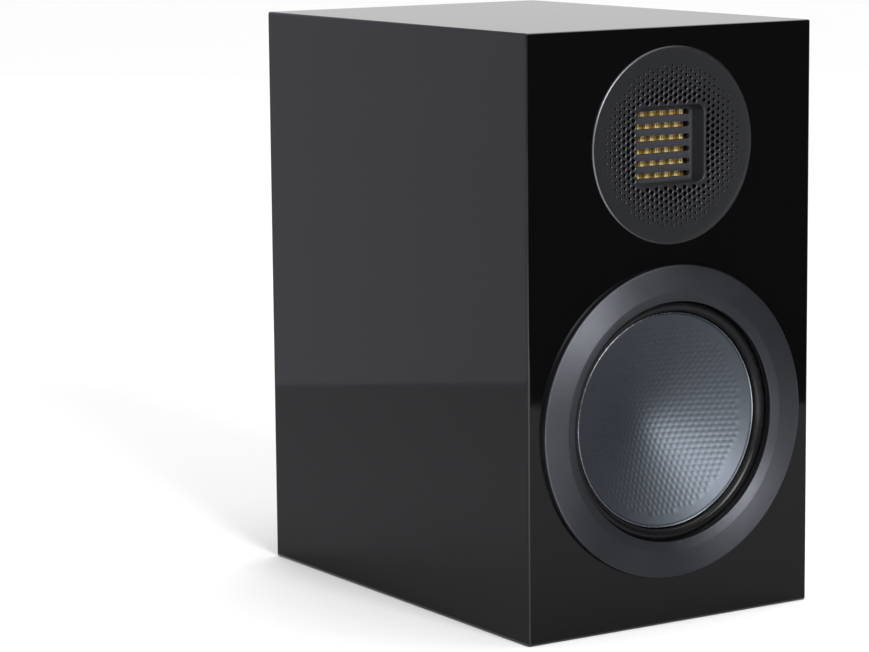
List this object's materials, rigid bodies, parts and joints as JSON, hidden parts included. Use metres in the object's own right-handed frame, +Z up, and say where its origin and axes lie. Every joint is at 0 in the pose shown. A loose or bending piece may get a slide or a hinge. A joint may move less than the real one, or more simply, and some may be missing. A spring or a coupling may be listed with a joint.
{
  "type": "bookshelf speaker",
  "caption": "Compact bookshelf loudspeaker: gloss black box, dished dimpled woofer in a dark trim ring, perforated tweeter plate with a gold pleated diaphragm, rear port, binding posts.",
  "frame": {"origin": "middle of the cabinet's underside, on the plane it rests on", "axes": "+Z up, front baffle faces -Y, +X to the right of someone looking at the front"},
  "size_m": [0.18, 0.2847, 0.311],
  "materials": {
    "black_lacquer": "board sprayed in deep gloss black lacquer",
    "raw_board": "raw fibreboard",
    "gunmetal_ring": "satin dark gunmetal, turned",
    "cast_alloy": "powder-coated casting",
    "cone_alloy": "satin blue-grey anodised, dimpled",
    "black_rubber": "satin black rubber",
    "foam_gasket": "closed-cell foam",
    "former_film": "amber film",
    "copper": "enamelled copper wire",
    "spider_cloth": "resin-treated woven cloth",
    "plated_steel": "plated",
    "ferrite": "sintered ferrite, matt",
    "faceplate_metal": "satin dark grey, perforated",
    "grid_metal": "satin dark grey",
    "black_plastic": "moulded, satin",
    "gold_film": "thin gold-coloured pleated film",
    "felt": "grey felt",
    "gold_plate": "gold-coloured plating",
    "black_knob": "fluted, satin",
    "red_knob": "fluted, satin",
    "black_screw": "blackened",
    "circuit_board": "coated board",
    "capacitor_film": "wrapped film",
    "ceramic": "white ceramic",
    "lead_sheath": "soft black sheath"
  },
  "bodies": {
    "cabinet": {"bottom_panel": "black_lacquer", "chamber_felt": "felt", "clamp_bolt_washer": "plated_steel", "crossover_board": "circuit_board", "damping_pad_left": "felt", "damping_pad_right": "felt", "diaphragm_frame": "black_plastic", "faceplate_screw_1": "plated_steel", "faceplate_screw_2": "plated_steel", "faceplate_screw_3": "plated_steel", "faceplate_screw_4": "plated_steel", "front_baffle": "black_lacquer", "front_pole_grid": "grid_metal", "input_lead": "lead_sheath", "left_side_panel": "black_lacquer", "negative_post_stem": "gold_plate", "pole_and_back_plate": "plated_steel", "port_tube": "black_plastic", "positive_post_stem": "gold_plate", "rear_panel": "black_lacquer", "rear_pole_grid": "grid_metal", "right_side_panel": "black_lacquer", "terminal_plate": "black_plastic", "terminal_plate_screw_1": "black_screw", "terminal_plate_screw_2": "black_screw", "terminal_plate_screw_3": "black_screw", "terminal_plate_screw_4": "black_screw", "top_panel": "black_lacquer", "tweeter_capacitor": "capacitor_film", "tweeter_chassis": "black_plastic", "tweeter_diaphragm": "gold_film", "tweeter_faceplate": "faceplate_metal", "tweeter_gasket": "foam_gasket", "tweeter_inductor": "copper", "tweeter_lead": "lead_sheath", "tweeter_magnet_left": "plated_steel", "tweeter_magnet_right": "plated_steel", "tweeter_rear_chamber": "black_plastic", "tweeter_resistor": "ceramic", "window_brace": "raw_board", "woofer_basket": "cast_alloy", "woofer_capacitor": "capacitor_film", "woofer_clamp_bolt": "plated_steel", "woofer_gasket": "foam_gasket", "woofer_inductor": "copper", "woofer_lead": "lead_sheath", "woofer_magnet": "ferrite", "woofer_spider": "spider_cloth", "woofer_surround": "black_rubber", "woofer_terminal_strip": "black_plastic", "woofer_top_plate": "plated_steel", "woofer_trim_ring": "gunmetal_ring"},
    "woofer_motion": {"woofer_cone": "cone_alloy", "voice_coil_former": "former_film", "voice_coil_winding": "copper"},
    "negative_washer": {"negative_post_washer": "gold_plate"},
    "negative_knob": {"negative_post_knob": "black_knob"},
    "positive_washer": {"positive_post_washer": "gold_plate"},
    "positive_knob": {"positive_post_knob": "red_knob"}
  },
  "joints": [
    {"name": "woofer_stroke", "type": "slide", "parent": "cabinet", "child": "woofer_motion", "axis": [0, -1, 0], "range_m": [-0.004, 0.004], "stiffness_N_per_m": 1200, "deforming": ["woofer_surround", "woofer_spider"]},
    {"name": "negative_post_travel", "type": "slide", "parent": "cabinet", "child": "negative_washer", "axis": [0, 1, 0], "range_m": [0, 0.005]},
    {"name": "negative_post_turn", "type": "hinge", "parent": "negative_washer", "child": "negative_knob", "pos_m": [-0.019, 0.1364, 0.052], "axis": [0, 1, 0], "range_deg": [0, 1800]},
    {"name": "positive_post_travel", "type": "slide", "parent": "cabinet", "child": "positive_washer", "axis": [0, 1, 0], "range_m": [0, 0.005]},
    {"name": "positive_post_turn", "type": "hinge", "parent": "positive_washer", "child": "positive_knob", "pos_m": [0.019, 0.1364, 0.052], "axis": [0, 1, 0], "range_deg": [0, 1800]}
  ],
  "couplings": [
    {"joint": "negative_post_travel", "follows": "negative_post_turn", "m_per_rad": 0.00015915},
    {"joint": "positive_post_travel", "follows": "positive_post_turn", "m_per_rad": 0.00015915}
  ]
}
